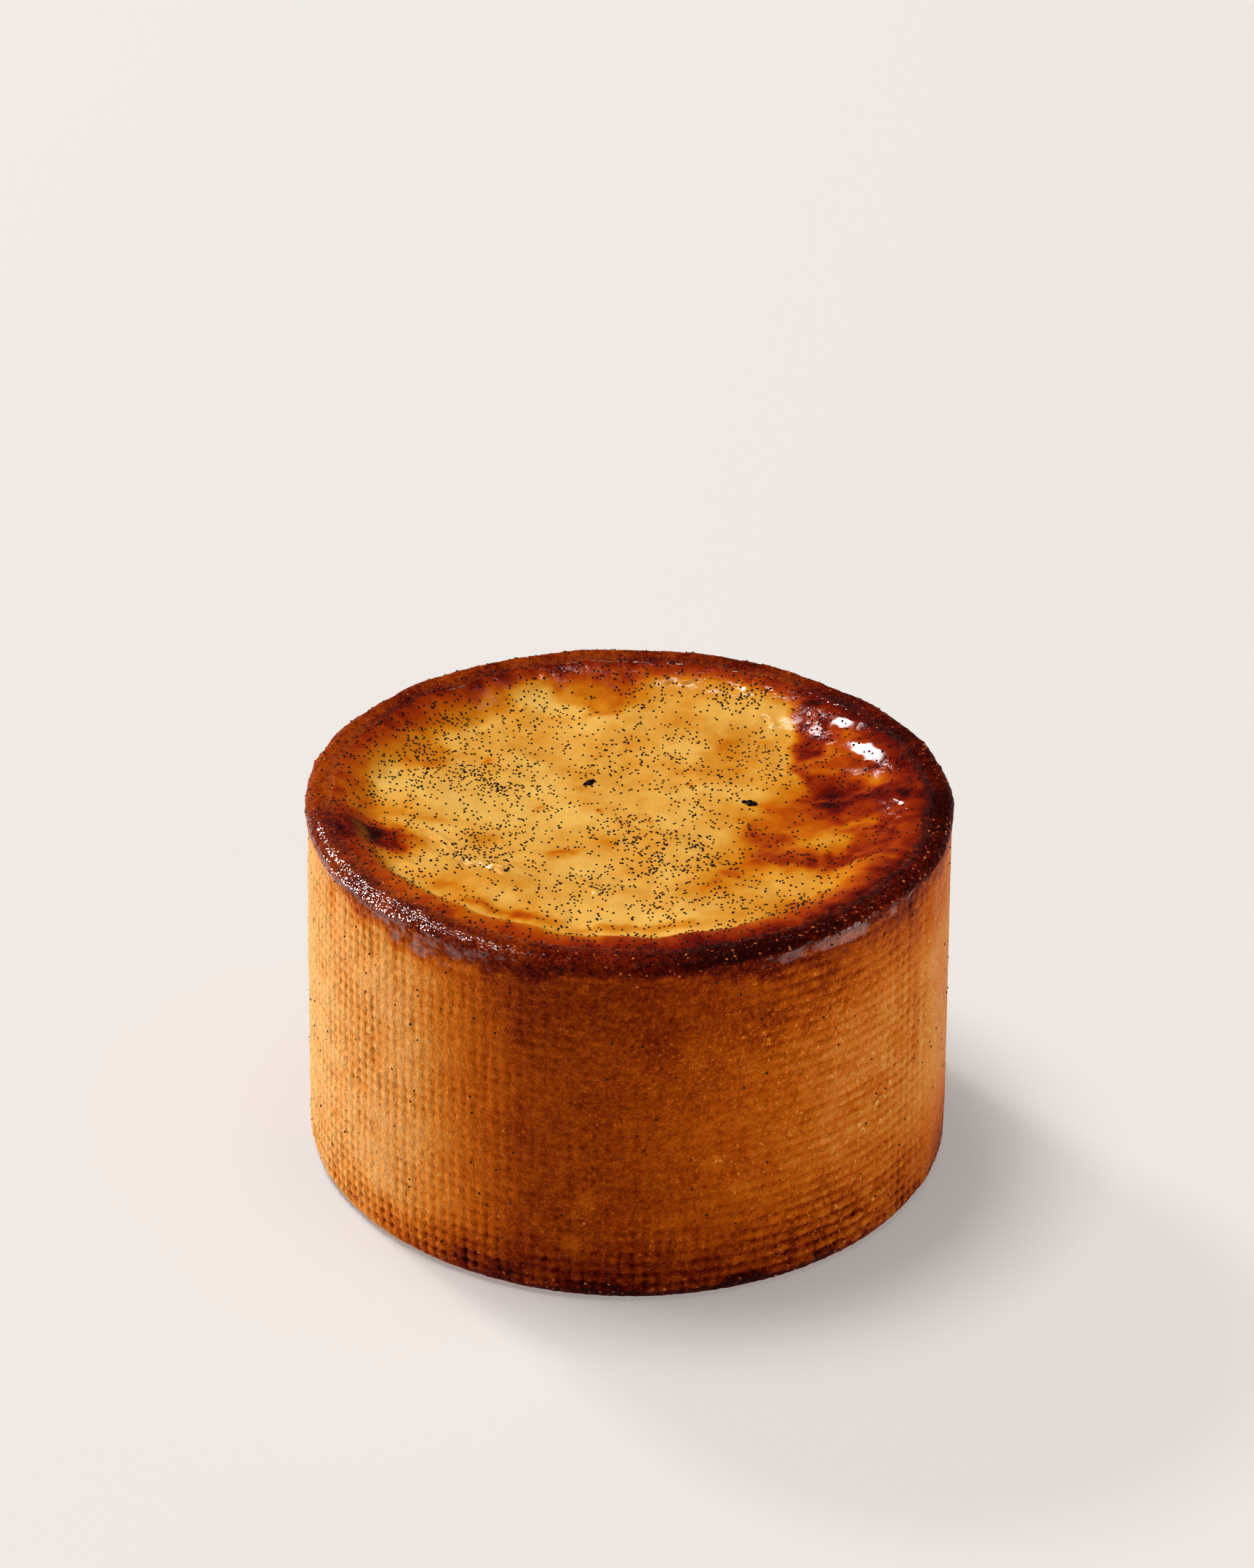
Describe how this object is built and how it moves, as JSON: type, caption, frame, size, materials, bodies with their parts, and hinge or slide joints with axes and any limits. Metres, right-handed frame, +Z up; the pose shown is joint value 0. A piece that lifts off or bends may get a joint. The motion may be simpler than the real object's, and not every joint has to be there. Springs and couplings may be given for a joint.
{
  "type": "custard tart",
  "caption": "Tall round baked vanilla custard tart in a straight shortcrust case with a woven imprint, its browned, glazed top sunk in a shallow dish.",
  "frame": {"origin": "middle of the flat underside, on the table", "axes": "+Z up through the middle of the tart; the pictured front faces -Y, and +X is to the right seen from the front"},
  "size_m": [0.081, 0.081, 0.0484],
  "materials": {
    "pastry": "matte, crumbly, golden to brown, with a glazed dark lip",
    "custard": "glossy glazed custard skin, yellow with caramel patches",
    "vanilla": "black vanilla seeds with a slight sheen"
  },
  "bodies": {
    "root": {"pastry_case": "pastry", "custard_filling": "custard"}
  },
  "joints": []
}
